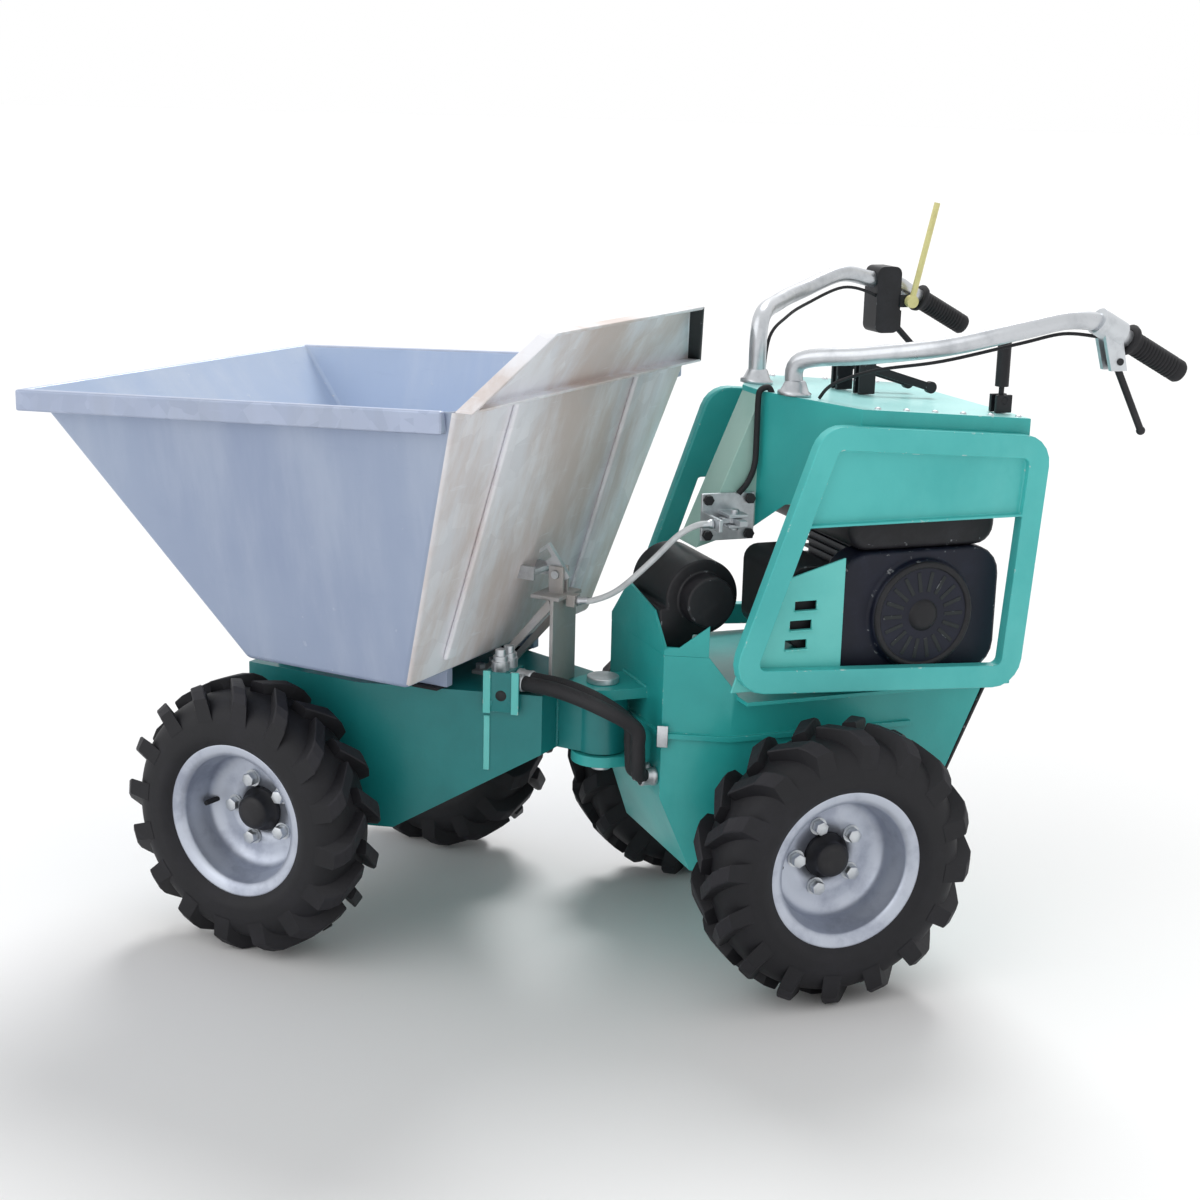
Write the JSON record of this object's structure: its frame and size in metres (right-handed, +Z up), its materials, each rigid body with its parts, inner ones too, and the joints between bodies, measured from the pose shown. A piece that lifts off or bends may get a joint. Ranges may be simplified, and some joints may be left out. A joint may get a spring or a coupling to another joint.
{
  "type": "concrete buggy",
  "caption": "Walk-behind articulated concrete buggy: a forward-tipping open hopper on a two-wheel front unit, steered by a kingpin from an engine tower with handlebars.",
  "frame": {"origin": "on the ground, below the middle of the machine's box as stored, at full right lock", "axes": "+X forward along the front unit that carries the hopper, +Y to its left, +Z up"},
  "size_m": [1.5209, 1.1224, 1.1037],
  "materials": {
    "teal_paint": "gloss teal enamel",
    "motor_paint": "dark teal enamel",
    "bronze": "turned bronze",
    "zinc": "bright zinc plate",
    "galvanised": "weathered galvanised sheet",
    "rubber": "moulded rubber",
    "hopper_grey": "blue-grey paint",
    "rim_steel": "folded bright edge",
    "louvre_paint": "lighter teal enamel",
    "engine_black": "satin black",
    "black_plastic": "moulded plastic",
    "exhaust": "heat-stained steel",
    "black_paint": "satin black",
    "tube": "grey plated tube",
    "yellow_paint": "pale yellow paint",
    "hose_rubber": "braided hose cover",
    "cable_sheath": "light grey sheath",
    "tyre": "agricultural tread rubber",
    "wheel_rim": "silver wheel paint"
  },
  "bodies": {
    "front_unit": {"front_frame": "teal_paint", "front_wheel_motors": "motor_paint", "kingpin_bush": "bronze", "tip_bearers": "teal_paint", "tip_pins": "zinc", "latch_stand": "galvanised", "hopper_buffers": "rubber", "front_bolts": "zinc"},
    "hopper": {"hopper_shell": "hopper_grey", "hopper_rim": "rim_steel", "splash_plate": "galvanised", "hopper_ribs": "galvanised", "hinge_runners": "hopper_grey", "latch_keeper": "zinc"},
    "latch": {"latch_hook": "zinc"},
    "front_left_wheel": {"front_left_tyre": "tyre", "front_left_rim": "wheel_rim", "front_left_hub": "black_paint"},
    "front_right_wheel": {"front_right_tyre": "tyre", "front_right_rim": "wheel_rim", "front_right_hub": "black_paint"},
    "rear_left_wheel": {"rear_left_tyre": "tyre", "rear_left_rim": "wheel_rim", "rear_left_hub": "black_paint"},
    "rear_right_wheel": {"rear_right_tyre": "tyre", "rear_right_rim": "wheel_rim", "rear_right_hub": "black_paint"},
    "rear_unit": {"rear_frame": "teal_paint", "kingpin": "zinc", "rear_wheel_motors": "motor_paint", "tower_cowl": "teal_paint", "left_guard": "teal_paint", "right_guard": "teal_paint", "louvre_panel": "louvre_paint", "engine_block": "engine_black", "blower_housing": "engine_black", "fuel_tank": "engine_black", "air_cleaner": "black_plastic", "muffler": "exhaust", "oil_pump": "black_paint", "pump_cradle": "teal_paint", "crank_bracket": "zinc", "tail_plate": "black_paint", "handlebars": "tube", "hand_grips": "rubber", "lever_clamp": "zinc", "control_block": "black_plastic", "lever_pedestals": "black_paint", "rear_bolts": "black_paint", "drive_hoses": "hose_rubber", "release_cable": "cable_sheath"},
    "left_hand_lever": {"left_lever": "black_paint"},
    "right_hand_lever": {"right_lever": "black_paint"},
    "deadman": {"deadman_lever": "yellow_paint"},
    "drive_control": {"drive_lever": "black_plastic"},
    "throttle_control": {"throttle_lever": "black_paint"},
    "tip_control": {"tip_lever": "black_paint"},
    "release_crank": {"bell_crank": "zinc"}
  },
  "joints": [
    {"name": "steer", "type": "hinge", "parent": "front_unit", "child": "rear_unit", "pos_m": [-0.03903, 0.20386, 0.36], "axis": [0, 0, 1], "range_deg": [-98, 0], "deforming": ["drive_hoses", "release_cable"]},
    {"name": "hopper_tip", "type": "hinge", "parent": "front_unit", "child": "hopper", "pos_m": [0.42597, 0.20386, 0.4287], "axis": [0, 1, 0], "range_deg": [0, 75]},
    {"name": "latch_swing", "type": "hinge", "parent": "front_unit", "child": "latch", "pos_m": [0.03897, 0.20386, 0.574], "axis": [0, 1, 0], "range_deg": [0, 52]},
    {"name": "front_left_spin", "type": "hinge", "parent": "front_unit", "child": "front_left_wheel", "pos_m": [0.41097, 0.45986, 0.207], "axis": [0, 1, 0], "continuous": true},
    {"name": "front_right_spin", "type": "hinge", "parent": "front_unit", "child": "front_right_wheel", "pos_m": [0.41097, -0.05214, 0.207], "axis": [0, 1, 0], "continuous": true},
    {"name": "rear_left_spin", "type": "hinge", "parent": "rear_unit", "child": "rear_left_wheel", "pos_m": [-0.40281, 0.17559, 0.207], "axis": [-0.7547, 0.6561, 0], "continuous": true},
    {"name": "rear_right_spin", "type": "hinge", "parent": "rear_unit", "child": "rear_right_wheel", "pos_m": [-0.0164, -0.16032, 0.207], "axis": [-0.7547, 0.6561, 0], "continuous": true},
    {"name": "left_lever_squeeze", "type": "hinge", "parent": "rear_unit", "child": "left_hand_lever", "pos_m": [-0.67722, -0.08673, 0.918], "axis": [-0.7547, 0.6561, 0], "range_deg": [0, 26], "stiffness_Nm_per_rad": 1.5},
    {"name": "right_lever_squeeze", "type": "hinge", "parent": "rear_unit", "child": "right_hand_lever", "pos_m": [-0.21567, -0.4429, 0.912], "axis": [-0.7547, 0.6561, 0], "range_deg": [0, 16], "stiffness_Nm_per_rad": 1},
    {"name": "deadman_press", "type": "hinge", "parent": "rear_unit", "child": "deadman", "pos_m": [-0.25199, -0.44048, 0.944], "axis": [0.7547, -0.6561, 0], "range_deg": [0, 84], "stiffness_Nm_per_rad": 0.8},
    {"name": "drive_select", "type": "hinge", "parent": "rear_unit", "child": "drive_control", "pos_m": [-0.50795, -0.12522, 0.84288], "axis": [-0.7547, 0.6561, 0], "range_deg": [-20, 20]},
    {"name": "throttle_set", "type": "hinge", "parent": "rear_unit", "child": "throttle_control", "pos_m": [-0.26159, -0.12076, 0.87878], "axis": [-0.7547, 0.6561, 0], "range_deg": [0, 50]},
    {"name": "tip_pull", "type": "hinge", "parent": "rear_unit", "child": "tip_control", "pos_m": [-0.30644, -0.09767, 0.87784], "axis": [-0.7547, 0.6561, 0], "range_deg": [0, 45]},
    {"name": "crank_swing", "type": "hinge", "parent": "rear_unit", "child": "release_crank", "pos_m": [-0.19847, 0.1119, 0.668], "axis": [0, 0, 1], "range_deg": [0, 25]}
  ],
  "couplings": [
    {"joint": "crank_swing", "follows": "tip_pull", "ratio": 0.55556},
    {"joint": "latch_swing", "follows": "tip_pull", "ratio": 1.1556}
  ]
}
